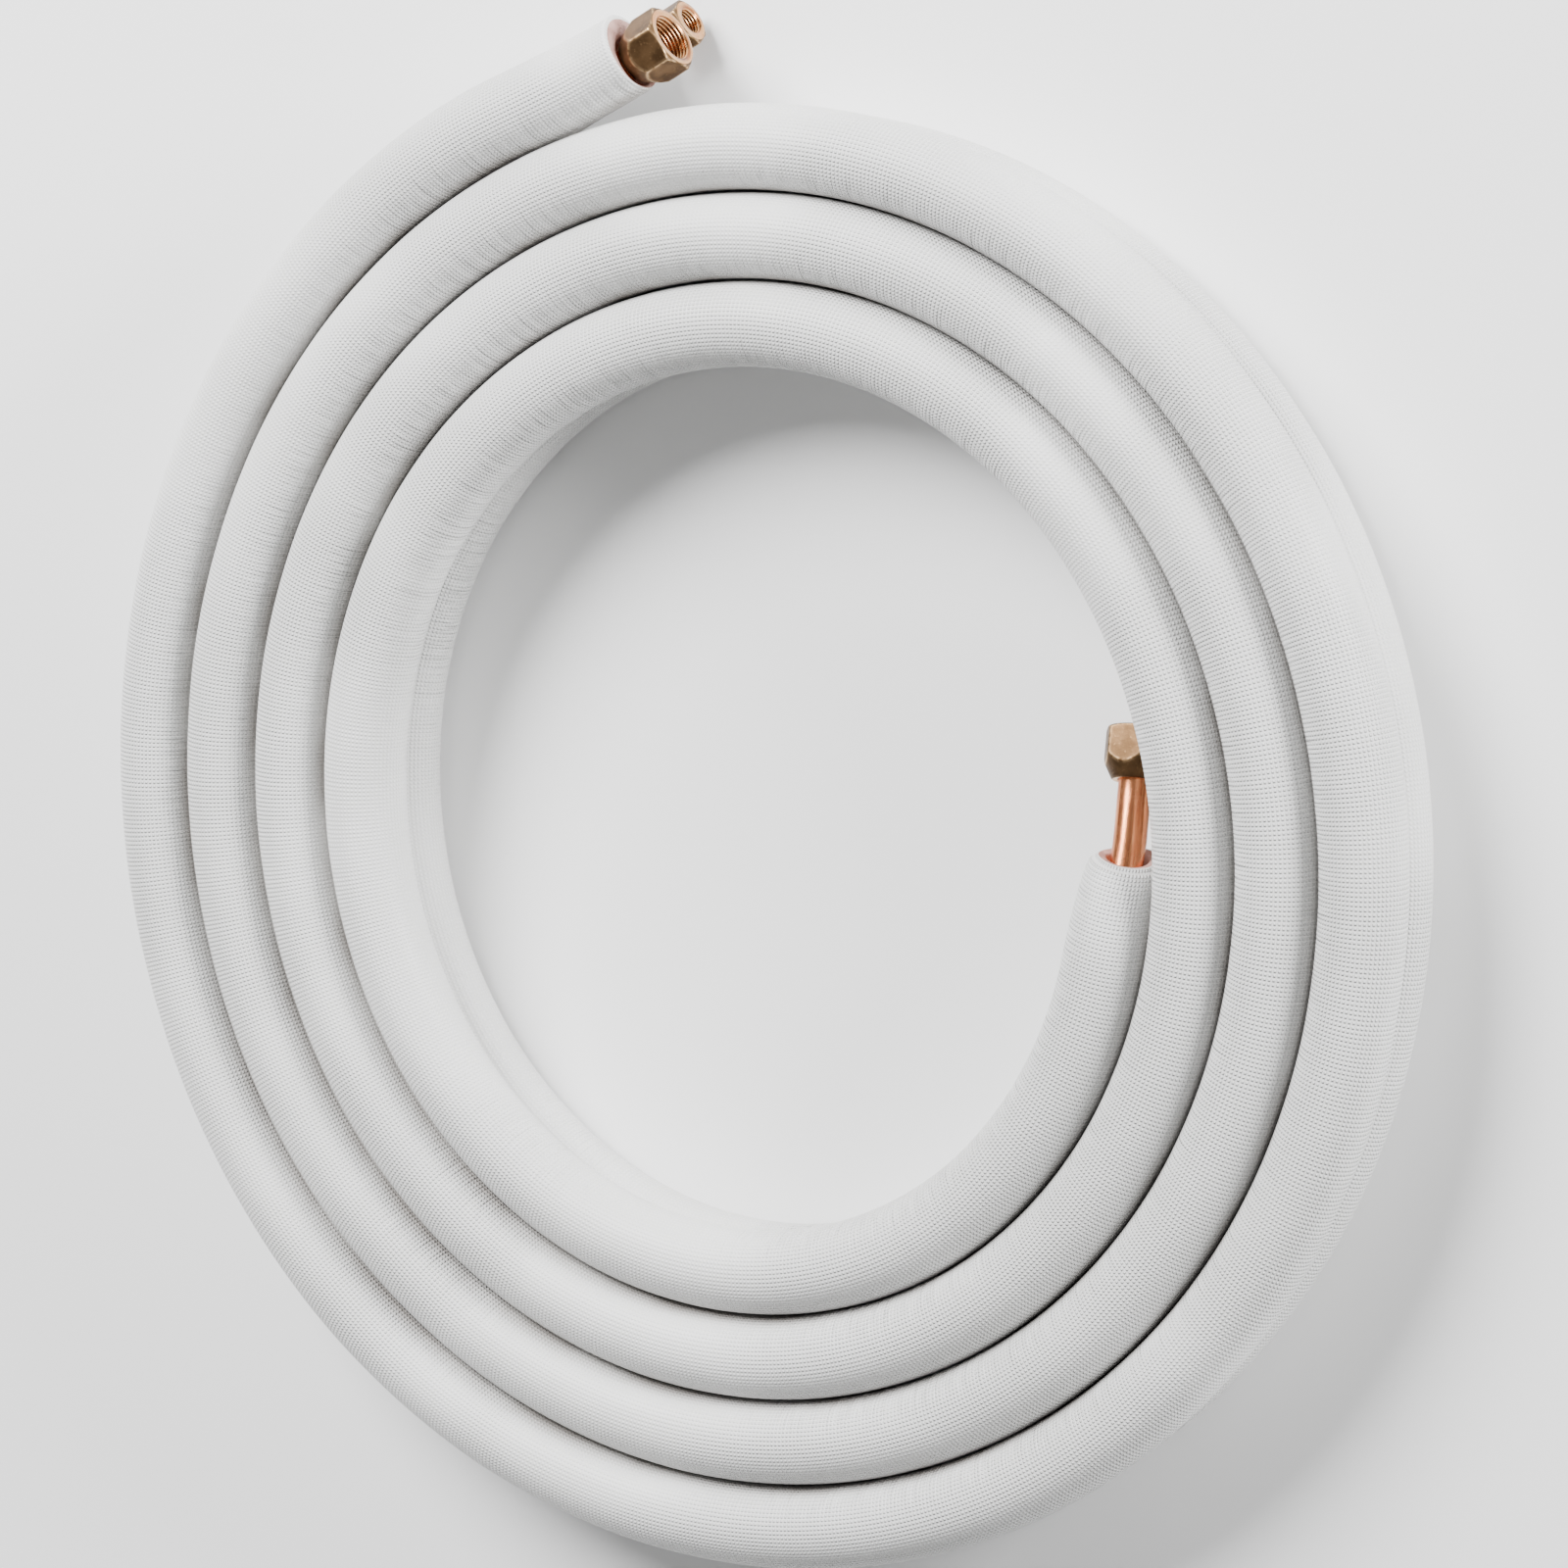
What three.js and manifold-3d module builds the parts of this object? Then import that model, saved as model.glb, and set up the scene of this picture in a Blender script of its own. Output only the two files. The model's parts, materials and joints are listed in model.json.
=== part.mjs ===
// A paired copper line set for a mini split air conditioner, coiled flat and lying on the floor.
// The gas line lies on the liquid line through every turn. Each line is a copper tube in a foam
// sleeve, and each tube end carries a loose brass flare nut held by the flare.
// Millimetres, +Z up. The origin is under the middle of the coil, on the floor.

import * as THREE from 'three';
import { mergeVertices } from 'three/addons/utils/BufferGeometryUtils.js';
import Module from 'manifold-3d';

const wasm = await Module();
wasm.setup();

// Tubes
const GAS_TUBE_OD = 12.7;
const LIQUID_TUBE_OD = 6.35;
const TUBE_WALL = 0.8;

// Foam sleeves, each with its skin fused on
const FOAM_WALL = 10.0;
const FOAM_CLEARANCE = 0.3;
const SLEEVE_GAP = 0.3;        // left between sleeves that touch

// The coil, seen from above, runs anticlockwise from its outer end to its inner end
const OUTER_RADIUS = 285.0;    // middle of the tube where the angle is OUTER_ANGLE
const OUTER_ANGLE = 136;       // degrees from +X
const OVAL = 4.3;              // how much the coil bulges along OVAL_ANGLE and shrinks across it
const OVAL_ANGLE = 84;
const STEP_ANGLE = 15;

// Straight ends: the angle where each leaves the coil, how far the foam turns from the coil's own
// direction there and the bare tube from the foam, both lengths, and the dip of both below the
// horizontal. A bare length runs from foam to nut.
const GAS_OUTER = { leaves: 107.5, turn: -2, foam: 63, kink: 8.5, bare: 2.2, dip: 0 };
const GAS_INNER = { leaves: 1425, turn: 5, foam: 29, kink: 9, bare: 28, dip: 18 };
const LIQUID_OUTER = { leaves: 111.5, turn: 2.5, foam: 78, kink: 0, bare: 4, dip: 0 };
const LIQUID_INNER = { leaves: 1410, turn: 2, foam: 9, kink: 0, bare: 12, dip: 0 };

// Flare nuts: the hexagon's width over flats, lengths along the axis, and the bore
const GAS_NUT = { flats: 24, length: 20, shoulder: 9, rearRadius: 9.0, frontRadius: 11.7,
  threadRadius: 8.75, threadDepth: 11.5, chamfer: 0.9 };
const LIQUID_NUT = { flats: 17, length: 17, shoulder: 6.5, rearRadius: 6.4, frontRadius: 8.2,
  threadRadius: 4.95, threadDepth: 9.5, chamfer: 0.6 };
const FRONT_SLOPE = 30;        // degrees that the turned front corners fall away
const NUT_CLEARANCE = 0.4;     // between a nut's rear bore and its tube
const SEAT_GAP = 0.3;          // between a flare and the seat it bears on
const FLARE_LIP = 0.55;        // how far a flare's rim stays inside the thread's crests
const LIP_RISE = 0.3;          // how far a flare's inner edge stands past its outer edge

// How far each nut is turned about its tube, in degrees
const NUT_TURNS = { gasOuter: 12, gasInner: 57, liquidOuter: 0, liquidInner: 15 };

// Sides of the round sections
const SLEEVE_SIDES = 12;
const TUBE_SIDES = 8;
const NUT_SIDES = 24;

// How far solids reach into each other before they are joined or cut
const JOIN_OVERLAP = 1.0;
const JOIN_SKIN = 0.03;
const CUT_MARGIN = 1.0;

const gasTubeRadius = GAS_TUBE_OD / 2;
const liquidTubeRadius = LIQUID_TUBE_OD / 2;
const gasSleeveRadius = gasTubeRadius + FOAM_CLEARANCE + FOAM_WALL;
const liquidSleeveRadius = liquidTubeRadius + FOAM_CLEARANCE + FOAM_WALL;
const pitch = 2 * gasSleeveRadius + SLEEVE_GAP;
const liquidHeight = liquidSleeveRadius;
const gasHeight = 2 * liquidSleeveRadius + SLEEVE_GAP + gasSleeveRadius;

const radians = THREE.MathUtils.degToRad;

// The middle of the tube at a total angle, which grows by 360 degrees for each turn inward
function coilPoint(angle, height) {
  const turns = (angle - OUTER_ANGLE) / 360;
  const radius = OUTER_RADIUS - pitch * turns + OVAL * Math.cos(2 * radians(angle - OVAL_ANGLE));
  return new THREE.Vector3(radius * Math.cos(radians(angle)), radius * Math.sin(radians(angle)), height);
}

// A unit vector with a heading in plan and a dip below the horizontal
function direction(heading, dip) {
  const flat = Math.cos(radians(dip));
  return new THREE.Vector3(
    flat * Math.cos(radians(heading)),
    flat * Math.sin(radians(heading)),
    -Math.sin(radians(dip)),
  );
}

// A route through stations. It steps from station to station, and each section lies in the
// plane that halves the bend there, so sleeve and tube stay the same distance apart all along.
class StationRoute extends THREE.Curve {
  constructor(stations) {
    super();
    this.stations = stations;
  }

  getPoint(t, target = new THREE.Vector3()) {
    const place = t * (this.stations.length - 1);
    const from = Math.min(Math.floor(place), this.stations.length - 2);
    return target.copy(this.stations[from]).lerp(this.stations[from + 1], place - from);
  }

  getPointAt(u, target) {
    return this.getPoint(u, target);
  }

  getTangentAt(u, target = new THREE.Vector3()) {
    const last = this.stations.length - 1;
    const here = Math.round(u * last);
    const before = Math.max(here - 1, 0);
    const after = Math.min(here + 1, last);
    const arriving = this.stations[here].clone().sub(this.stations[before]).normalize();
    const leaving = this.stations[after].clone().sub(this.stations[here]).normalize();
    return target.copy(arriving).add(leaving).normalize();
  }
}

// One straight end, from where it leaves the coil: the foam's length, then any bare length. The
// coil's direction there is a quarter turn from the angle, back at the outer end, on at the inner.
function endStations(end, quarterTurn, bareLength, height) {
  const heading = end.leaves + quarterTurn + end.turn;
  const leaves = coilPoint(end.leaves, height);
  const foamEnd = leaves.clone().addScaledVector(direction(heading, end.dip), end.foam);
  if (bareLength === 0) {
    return [leaves, foamEnd];
  }
  const bareEnd = foamEnd.clone().addScaledVector(direction(heading + end.kink, end.dip), bareLength);
  return [leaves, foamEnd, bareEnd];
}

// The route of one line from its outer end to its inner end
function lineRoute(outer, outerBare, inner, innerBare, height) {
  const stations = endStations(outer, -90, outerBare, height).reverse();
  const firstStep = Math.floor(outer.leaves / STEP_ANGLE) + 1;
  for (let step = firstStep; step * STEP_ANGLE < inner.leaves; step += 1) {
    stations.push(coilPoint(step * STEP_ANGLE, height));
  }
  return new StationRoute([...stations, ...endStations(inner, 90, innerBare, height)]);
}

// Geometry to solid and back
function toSolid(geometry) {
  const bare = geometry.clone();
  bare.deleteAttribute('normal');
  bare.deleteAttribute('uv');
  const merged = mergeVertices(bare, 1e-4);
  return new wasm.Manifold(new wasm.Mesh({
    numProp: 3,
    vertProperties: new Float32Array(merged.attributes.position.array),
    triVerts: new Uint32Array(merged.index.array),
  }));
}

function toGeometry(solid) {
  const mesh = solid.getMesh();
  const geometry = new THREE.BufferGeometry();
  geometry.setAttribute('position', new THREE.BufferAttribute(new Float32Array(mesh.vertProperties), 3));
  geometry.setIndex(new THREE.BufferAttribute(new Uint32Array(mesh.triVerts), 1));
  geometry.computeVertexNormals();
  return geometry;
}

// A round or six-sided outline. On a route's section its x points down and its y to the left.
function outline(shape, radius, sides) {
  for (let side = 0; side < sides; side += 1) {
    const turn = (side / sides) * 2 * Math.PI;
    const point = [radius * Math.cos(turn), radius * Math.sin(turn)];
    if (side === 0) {
      shape.moveTo(...point);
    } else {
      shape.lineTo(...point);
    }
  }
  shape.closePath();
  return shape;
}

// A ring section swept along a route
function sweptRing(route, outerRadius, outerSides, innerRadius, innerSides) {
  const ring = outline(new THREE.Shape(), outerRadius, outerSides);
  ring.holes.push(outline(new THREE.Path(), innerRadius, innerSides));
  return new THREE.ExtrudeGeometry(ring, {
    steps: route.stations.length - 1,
    extrudePath: route,
    curveSegments: 1,
  });
}

// A foam sleeve round a tube, with its bore parallel to the tube's sides
function sleeve(route, tubeRadius, sleeveRadius) {
  const boreRadius = tubeRadius + FOAM_CLEARANCE / Math.cos(Math.PI / TUBE_SIDES);
  return sweptRing(route, sleeveRadius, SLEEVE_SIDES, boreRadius, TUBE_SIDES);
}

// A closed profile of [radius, along] pairs turned about the axis
function turned(profile, sides) {
  const points = [...profile, profile[0]].map(([radius, along]) => new THREE.Vector2(radius, along));
  return new THREE.LatheGeometry(points, sides);
}

// A nut's place on its tube: the axis at the rear face, the way out, and the section's own frame
function endFrame(route, atStart, rear) {
  const last = route.stations.length - 1;
  const frames = route.computeFrenetFrames(last);
  const here = atStart ? 0 : last;
  const outward = frames.tangents[here].clone().multiplyScalar(atStart ? -1 : 1);
  const down = frames.normals[here].clone();
  const side = new THREE.Vector3().crossVectors(outward, down);
  const origin = route.stations[here].clone().addScaledVector(outward, rear);
  return new THREE.Matrix4().makeBasis(side, outward, down).setPosition(origin);
}

// Where a flare starts, measured from the nut's rear face
function flareStart(nut, tubeRadius) {
  const seatEnd = nut.length - nut.threadDepth;
  const seatStart = seatEnd - (nut.threadRadius - tubeRadius - NUT_CLEARANCE);
  return seatStart + NUT_CLEARANCE + SEAT_GAP;
}

// A tube with a flare at each end. The route stops where the flares start.
function flaredTube(route, tubeRadius, nut) {
  const bore = tubeRadius - TUBE_WALL;
  let solid = toSolid(sweptRing(route, tubeRadius, TUBE_SIDES, bore, TUBE_SIDES));
  const spread = nut.threadRadius - FLARE_LIP - tubeRadius;
  const profile = [
    [bore + JOIN_SKIN, -JOIN_OVERLAP],
    [tubeRadius + JOIN_SKIN, -JOIN_OVERLAP],
    [tubeRadius + JOIN_SKIN, 0],
    [tubeRadius + spread, spread],
    [bore + spread, spread + LIP_RISE],
    [bore + JOIN_SKIN, 0],
  ];
  for (const atStart of [true, false]) {
    const flare = turned(profile, TUBE_SIDES);
    flare.applyMatrix4(endFrame(route, atStart, 0));
    solid = solid.add(toSolid(flare));
  }
  return toGeometry(solid);
}

// A flare nut standing on its rear face, with its mouth towards +Y
function flareNut(nut, tubeRadius) {
  const cornerRadius = nut.flats / Math.sqrt(3);
  const turnedRadius = cornerRadius + CUT_MARGIN;
  const rearSlope = (cornerRadius - nut.rearRadius) / nut.shoulder;
  const frontSlope = Math.tan(radians(FRONT_SLOPE));
  const seatEnd = nut.length - nut.threadDepth;
  const boreRadius = tubeRadius + NUT_CLEARANCE;
  const profile = [
    [boreRadius, 0],
    [nut.rearRadius, 0],
    [turnedRadius, (turnedRadius - nut.rearRadius) / rearSlope],
    [turnedRadius, nut.length - (turnedRadius - nut.frontRadius) * frontSlope],
    [nut.frontRadius, nut.length],
    [nut.threadRadius + nut.chamfer, nut.length],
    [nut.threadRadius, nut.length - nut.chamfer],
    [nut.threadRadius, seatEnd],
    [boreRadius, seatEnd - (nut.threadRadius - boreRadius)],
  ];
  const hexagon = outline(new THREE.Shape(), cornerRadius, 6);
  const depth = nut.length + 2 * CUT_MARGIN;
  const prism = new THREE.ExtrudeGeometry(hexagon, { depth, bevelEnabled: false });
  prism.translate(0, 0, -nut.length - CUT_MARGIN);
  prism.rotateX(Math.PI / 2);
  return toGeometry(toSolid(turned(profile, NUT_SIDES)).intersect(toSolid(prism)));
}

const lineSet = new THREE.Group();

function addPiece(name, geometry, material, frame = new THREE.Matrix4()) {
  const mesh = new THREE.Mesh(geometry, material);
  mesh.name = name;
  frame.decompose(mesh.position, mesh.quaternion, mesh.scale);
  lineSet.add(mesh);
}

const foam = () => new THREE.MeshStandardMaterial({ color: 0xe6e5e1, roughness: 0.6, metalness: 0 });
const copper = () => new THREE.MeshStandardMaterial({ color: 0xc9764f, roughness: 0.3, metalness: 1 });
const brass = () => new THREE.MeshStandardMaterial({ color: 0xa17c52, roughness: 0.38, metalness: 1 });

// One line: its sleeve, its tube and the nuts at both ends
function addLine(name, line) {
  const { outer, inner, nut, tubeRadius, sleeveRadius, height } = line;
  const foamRoute = lineRoute(outer, 0, inner, 0, height);
  addPiece(`${name}_insulation`, sleeve(foamRoute, tubeRadius, sleeveRadius), foam());

  const flare = flareStart(nut, tubeRadius);
  const tubeRoute = lineRoute(outer, outer.bare + flare, inner, inner.bare + flare, height);
  addPiece(`${name}_tube`, flaredTube(tubeRoute, tubeRadius, nut), copper());

  for (const [end, atStart, turn] of [['outer', true, line.outerTurn], ['inner', false, line.innerTurn]]) {
    const frame = endFrame(tubeRoute, atStart, -flare);
    frame.multiply(new THREE.Matrix4().makeRotationY(radians(turn)));
    addPiece(`${name.replace('_line', '')}_flare_nut_${end}`, flareNut(nut, tubeRadius), brass(), frame);
  }
}

addLine('gas_line', {
  outer: GAS_OUTER,
  inner: GAS_INNER,
  nut: GAS_NUT,
  tubeRadius: gasTubeRadius,
  sleeveRadius: gasSleeveRadius,
  height: gasHeight,
  outerTurn: NUT_TURNS.gasOuter,
  innerTurn: NUT_TURNS.gasInner,
});
addLine('liquid_line', {
  outer: LIQUID_OUTER,
  inner: LIQUID_INNER,
  nut: LIQUID_NUT,
  tubeRadius: liquidTubeRadius,
  sleeveRadius: liquidSleeveRadius,
  height: liquidHeight,
  outerTurn: NUT_TURNS.liquidOuter,
  innerTurn: NUT_TURNS.liquidInner,
});

// The coil is moved so that the middle of its footprint is over the origin
lineSet.updateMatrixWorld(true);
const bounds = new THREE.Box3().setFromObject(lineSet, true);
const middle = bounds.getCenter(new THREE.Vector3());
lineSet.position.set(-middle.x, -middle.y, -bounds.min.z);

export default lineSet;
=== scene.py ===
# %% [markdown]
# A mini split line set, dressed for its portrait.
# The real thing is two copper tubes in white foam sleeves, wound together into a flat coil, with
# a loose brass flare nut on each flared tube end. The solids already sit where they belong, so
# this lesson makes their surfaces: smooth sleeves with an embossed skin, drawn copper, and nuts
# with real threads. Sizes are given in millimetres, and the meshes are in metres, in the frame
# of the solids.

# %% Load the frame
import json
import math
import bpy
import bmesh
import numpy as np
from mathutils import Matrix, Vector


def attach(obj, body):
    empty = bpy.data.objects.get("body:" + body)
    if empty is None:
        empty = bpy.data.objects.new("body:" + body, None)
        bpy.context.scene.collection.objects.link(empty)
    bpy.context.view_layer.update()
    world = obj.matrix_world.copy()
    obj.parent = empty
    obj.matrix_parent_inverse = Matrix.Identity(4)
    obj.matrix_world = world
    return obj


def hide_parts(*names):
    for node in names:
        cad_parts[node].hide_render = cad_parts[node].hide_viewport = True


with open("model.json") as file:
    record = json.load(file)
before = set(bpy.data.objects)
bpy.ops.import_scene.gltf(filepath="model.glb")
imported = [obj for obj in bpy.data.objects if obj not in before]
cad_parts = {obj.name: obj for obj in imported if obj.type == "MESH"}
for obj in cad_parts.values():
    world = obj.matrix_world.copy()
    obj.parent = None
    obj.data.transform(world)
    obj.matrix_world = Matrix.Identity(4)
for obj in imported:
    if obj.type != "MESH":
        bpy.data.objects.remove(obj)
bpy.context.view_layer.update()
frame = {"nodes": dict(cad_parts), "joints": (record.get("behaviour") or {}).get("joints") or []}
print("nodes", sorted(frame["nodes"]))

# %% [markdown]
# The camera comes first, because every later choice is judged through it. It looks down on the
# coil from the right of the picture with a long lens, so the turns keep nearly the same width
# from top to bottom. Its place was found by matching the gaps between the turns.

# %% Camera
MM = 0.001
CAMERA_PLACE = Vector((1107.5, 206.9, 1899.6)) * MM
CAMERA_RIGHT = Vector((0.8654, -0.0719, -0.4959))
CAMERA_UP = Vector((0.0150, 0.9929, -0.1179))
SENSOR_WIDTH = 36.0
LENS = 128.9

camera_data = bpy.data.cameras.new("camera")
camera_data.lens = LENS
camera_data.sensor_width = SENSOR_WIDTH
camera_data.clip_end = 50.0
camera = bpy.data.objects.new("camera", camera_data)
bpy.context.scene.collection.objects.link(camera)
camera_back = CAMERA_RIGHT.cross(CAMERA_UP).normalized()
camera_up = camera_back.cross(CAMERA_RIGHT).normalized()
camera_axes = Matrix((CAMERA_RIGHT.normalized(), camera_up, camera_back)).transposed()
camera.matrix_world = Matrix.Translation(CAMERA_PLACE) @ camera_axes.to_4x4()
bpy.context.scene.camera = camera
print("camera at", tuple(round(v, 3) for v in CAMERA_PLACE))

# %% [markdown]
# The sizes below are the same driving sizes that the solids were made from, in millimetres.
# The coil is a spiral that loses one pitch for each turn, made slightly oval. Each line also has
# two straight ends: the angle where each leaves the coil, how far its foam turns from the coil's own
# direction there, how far the bare tube turns from the foam, and lengths.

# %% Sizes of the two lines
FOAM_WALL = 10.0
FOAM_CLEARANCE = 0.3
TUBE_WALL = 0.8
OUTER_RADIUS = 285.0
OUTER_ANGLE = 136.0
OVAL = 4.3
OVAL_ANGLE = 84.0
SLEEVE_GAP = 0.3
NUT_CLEARANCE = 0.4
SEAT_GAP = 0.3
FLARE_LIP = 0.55
LIP_RISE = 0.3

GAS = {
    "tube": 6.35,
    "outer": {"leaves": 107.5, "turn": -2, "foam": 63, "kink": 8.5, "bare": 2.2, "dip": 0},
    "inner": {"leaves": 1425, "turn": 5, "foam": 29, "kink": 9, "bare": 28, "dip": 18},
    "nut": {"flats": 24, "length": 20, "shoulder": 9, "rear": 9.0, "front": 11.7,
            "thread": 8.75, "depth": 11.5, "chamfer": 0.9, "pitch": 1.5875},
}
LIQUID = {
    "tube": 3.175,
    "outer": {"leaves": 111.5, "turn": 2.5, "foam": 78, "kink": 0, "bare": 4, "dip": 0},
    "inner": {"leaves": 1410, "turn": 2, "foam": 9, "kink": 0, "bare": 12, "dip": 0},
    "nut": {"flats": 17, "length": 17, "shoulder": 6.5, "rear": 6.4, "front": 8.2,
            "thread": 4.95, "depth": 9.5, "chamfer": 0.6, "pitch": 1.27},
}
for line in (GAS, LIQUID):
    line["sleeve"] = line["tube"] + FOAM_CLEARANCE + FOAM_WALL
LIQUID["height"] = LIQUID["sleeve"]
GAS["height"] = 2 * LIQUID["sleeve"] + SLEEVE_GAP + GAS["sleeve"]
PITCH = 2 * GAS["sleeve"] + SLEEVE_GAP
print("sleeves are", 2 * GAS["sleeve"], "and", 2 * LIQUID["sleeve"], "mm across, pitch", PITCH)

# %% [markdown]
# A path is a list of points from the outer tube end to the inner one. The corners where a
# straight end meets the coil are rounded by a running average, as a bent tube rounds them, while
# the last stretch at each end stays straight so that the nuts sit true on their tubes.

# %% Paths of the two lines
PATH_STEP = 1.0
ANGLE_STEP = 0.5
ROUNDING = 16.0
END_ROUNDING = 4.0


def coil_point(angle, height):
    """The middle of the tube at a total angle in degrees, which grows inward."""
    turns = (angle - OUTER_ANGLE) / 360
    bulge = OVAL * np.cos(2 * np.radians(angle - OVAL_ANGLE))
    radius = OUTER_RADIUS - PITCH * turns + bulge
    flat = np.radians(angle)
    return np.stack([radius * np.cos(flat), radius * np.sin(flat), height + 0 * flat], -1)


def direction(heading, dip):
    """A unit vector with a heading in plan and a dip below the horizontal."""
    level = math.cos(math.radians(dip))
    turn = math.radians(heading)
    return np.array([level * math.cos(turn), level * math.sin(turn), -math.sin(math.radians(dip))])


def flare_start(line):
    """Where the tube's flare starts, measured from the nut's rear face."""
    nut = line["nut"]
    seat_end = nut["length"] - nut["depth"]
    seat_start = seat_end - (nut["thread"] - line["tube"] - NUT_CLEARANCE)
    return seat_start + NUT_CLEARANCE + SEAT_GAP


def flare_spread(line):
    """How far the flare opens, which is also its length because its slope is 45 degrees."""
    return line["nut"]["thread"] - FLARE_LIP - line["tube"]


QUARTER_TURN = {"outer": -90, "inner": 90}


def bare_direction(line, side):
    """The way that a line's bare tube and its nut point."""
    end = line[side]
    return direction(end["leaves"] + QUARTER_TURN[side] + end["turn"] + end["kink"], end["dip"])


def straight_end(line, side):
    """Corner points of one straight end: leaving the coil, the foam's end, the flare's lip."""
    end = line[side]
    leaves = coil_point(np.float64(end["leaves"]), line["height"])
    foam_way = direction(end["leaves"] + QUARTER_TURN[side] + end["turn"], end["dip"])
    foam_end = leaves + end["foam"] * foam_way
    bare = end["bare"] + flare_start(line) + flare_spread(line) + LIP_RISE
    return [leaves, foam_end, foam_end + bare * bare_direction(line, side)], bare


def resample(points, step):
    """The same line with points at even steps."""
    gaps = np.linalg.norm(np.diff(points, axis=0), axis=1)
    along = np.concatenate([[0], np.cumsum(gaps)])
    count = int(round(along[-1] / step)) + 1
    wanted = np.linspace(0, along[-1], count)
    return np.stack([np.interp(wanted, along, points[:, k]) for k in range(3)], -1)


def rounded(points, reach, keep):
    """A running average over reach millimetres each way, less near the ends."""
    count = len(points)
    here = np.arange(count)
    to_end = np.minimum(here, count - 1 - here) * PATH_STEP
    room = np.clip(to_end - keep, 0, None)
    window = np.clip(np.minimum(reach, np.maximum(room, END_ROUNDING)), 0, to_end)
    total = np.concatenate([np.zeros((1, 3)), np.cumsum(points, axis=0)])
    half = np.round(window / PATH_STEP).astype(int)
    return (total[here + half + 1] - total[here - half]) / (2 * half + 1)[:, None]


def line_path(line):
    """Points of the whole line, and the bare lengths at its two ends."""
    outer, outer_bare = straight_end(line, "outer")
    inner, inner_bare = straight_end(line, "inner")
    angles = np.arange(line["outer"]["leaves"], line["inner"]["leaves"], ANGLE_STEP)
    turns = coil_point(angles, line["height"])
    points = np.concatenate([np.array(outer[::-1]), turns[1:], np.array(inner)])
    straight = max(outer_bare, inner_bare)
    return rounded(resample(points, PATH_STEP), ROUNDING, straight), outer_bare, inner_bare


# %% [markdown]
# The solids were moved so that the middle of their footprint is over the origin. The same move
# is found here by comparing one known point, the gas line's outer nut face, with the place that
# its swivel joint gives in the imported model.

# %% Move from the coil's own centre to the frame
joints = {joint["name"]: joint for joint in frame["joints"]}


def nut_face(line, side):
    """The middle of a nut's front face, measured from the coil's own centre."""
    corners, _ = straight_end(line, side)
    reach = line[side]["bare"] + line["nut"]["length"]
    return corners[1] + reach * bare_direction(line, side)


SHIFT = np.array(joints["gas_outer_nut_swivel"]["pos_m"]) / MM - nut_face(GAS, "outer")
check = np.array(joints["liquid_inner_nut_swivel"]["pos_m"]) / MM - nut_face(LIQUID, "inner")
print("shift in mm", SHIFT.round(3), "the other end says", check.round(3))


def path_curve(name, points):
    """A poly curve through the points, whose normals stay level."""
    data = bpy.data.curves.new(name, "CURVE")
    data.dimensions = "3D"
    data.twist_mode = "Z_UP"
    spline = data.splines.new("POLY")
    spline.points.add(len(points) - 1)
    placed = np.concatenate([(points + SHIFT) * MM, np.ones((len(points), 1))], axis=1)
    spline.points.foreach_set("co", placed.astype(np.float32).ravel())
    curve = bpy.data.objects.new(name, data)
    bpy.context.scene.collection.objects.link(curve)
    return curve


def path_length(points):
    return float(np.linalg.norm(np.diff(points, axis=0), axis=1).sum())


for line, name in ((GAS, "gas"), (LIQUID, "liquid")):
    points, line["outer_bare"], line["inner_bare"] = line_path(line)
    line["length"] = path_length(points)
    line["curve"] = path_curve(name + "_path", points)
    print(name, "line is", round(line["length"] / 1000, 3), "m long")

# %% [markdown]
# Finishes are built from nodes. Patterns that belong to the sleeve read its own UV map, which
# counts embossed dots along and around it, so the grid of dots stays even through every bend.
# Patterns with no direction, such as tarnish, grain and the patches of painted shade, read Object
# coordinates.

# %% Helpers for materials
NODE_GAP = 180


def socket_key(key):
    """An input's name, or its number where the key is the letter i and a number."""
    return int(key[1:]) if key[0] == "i" and key[1:].isdigit() else key


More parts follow.
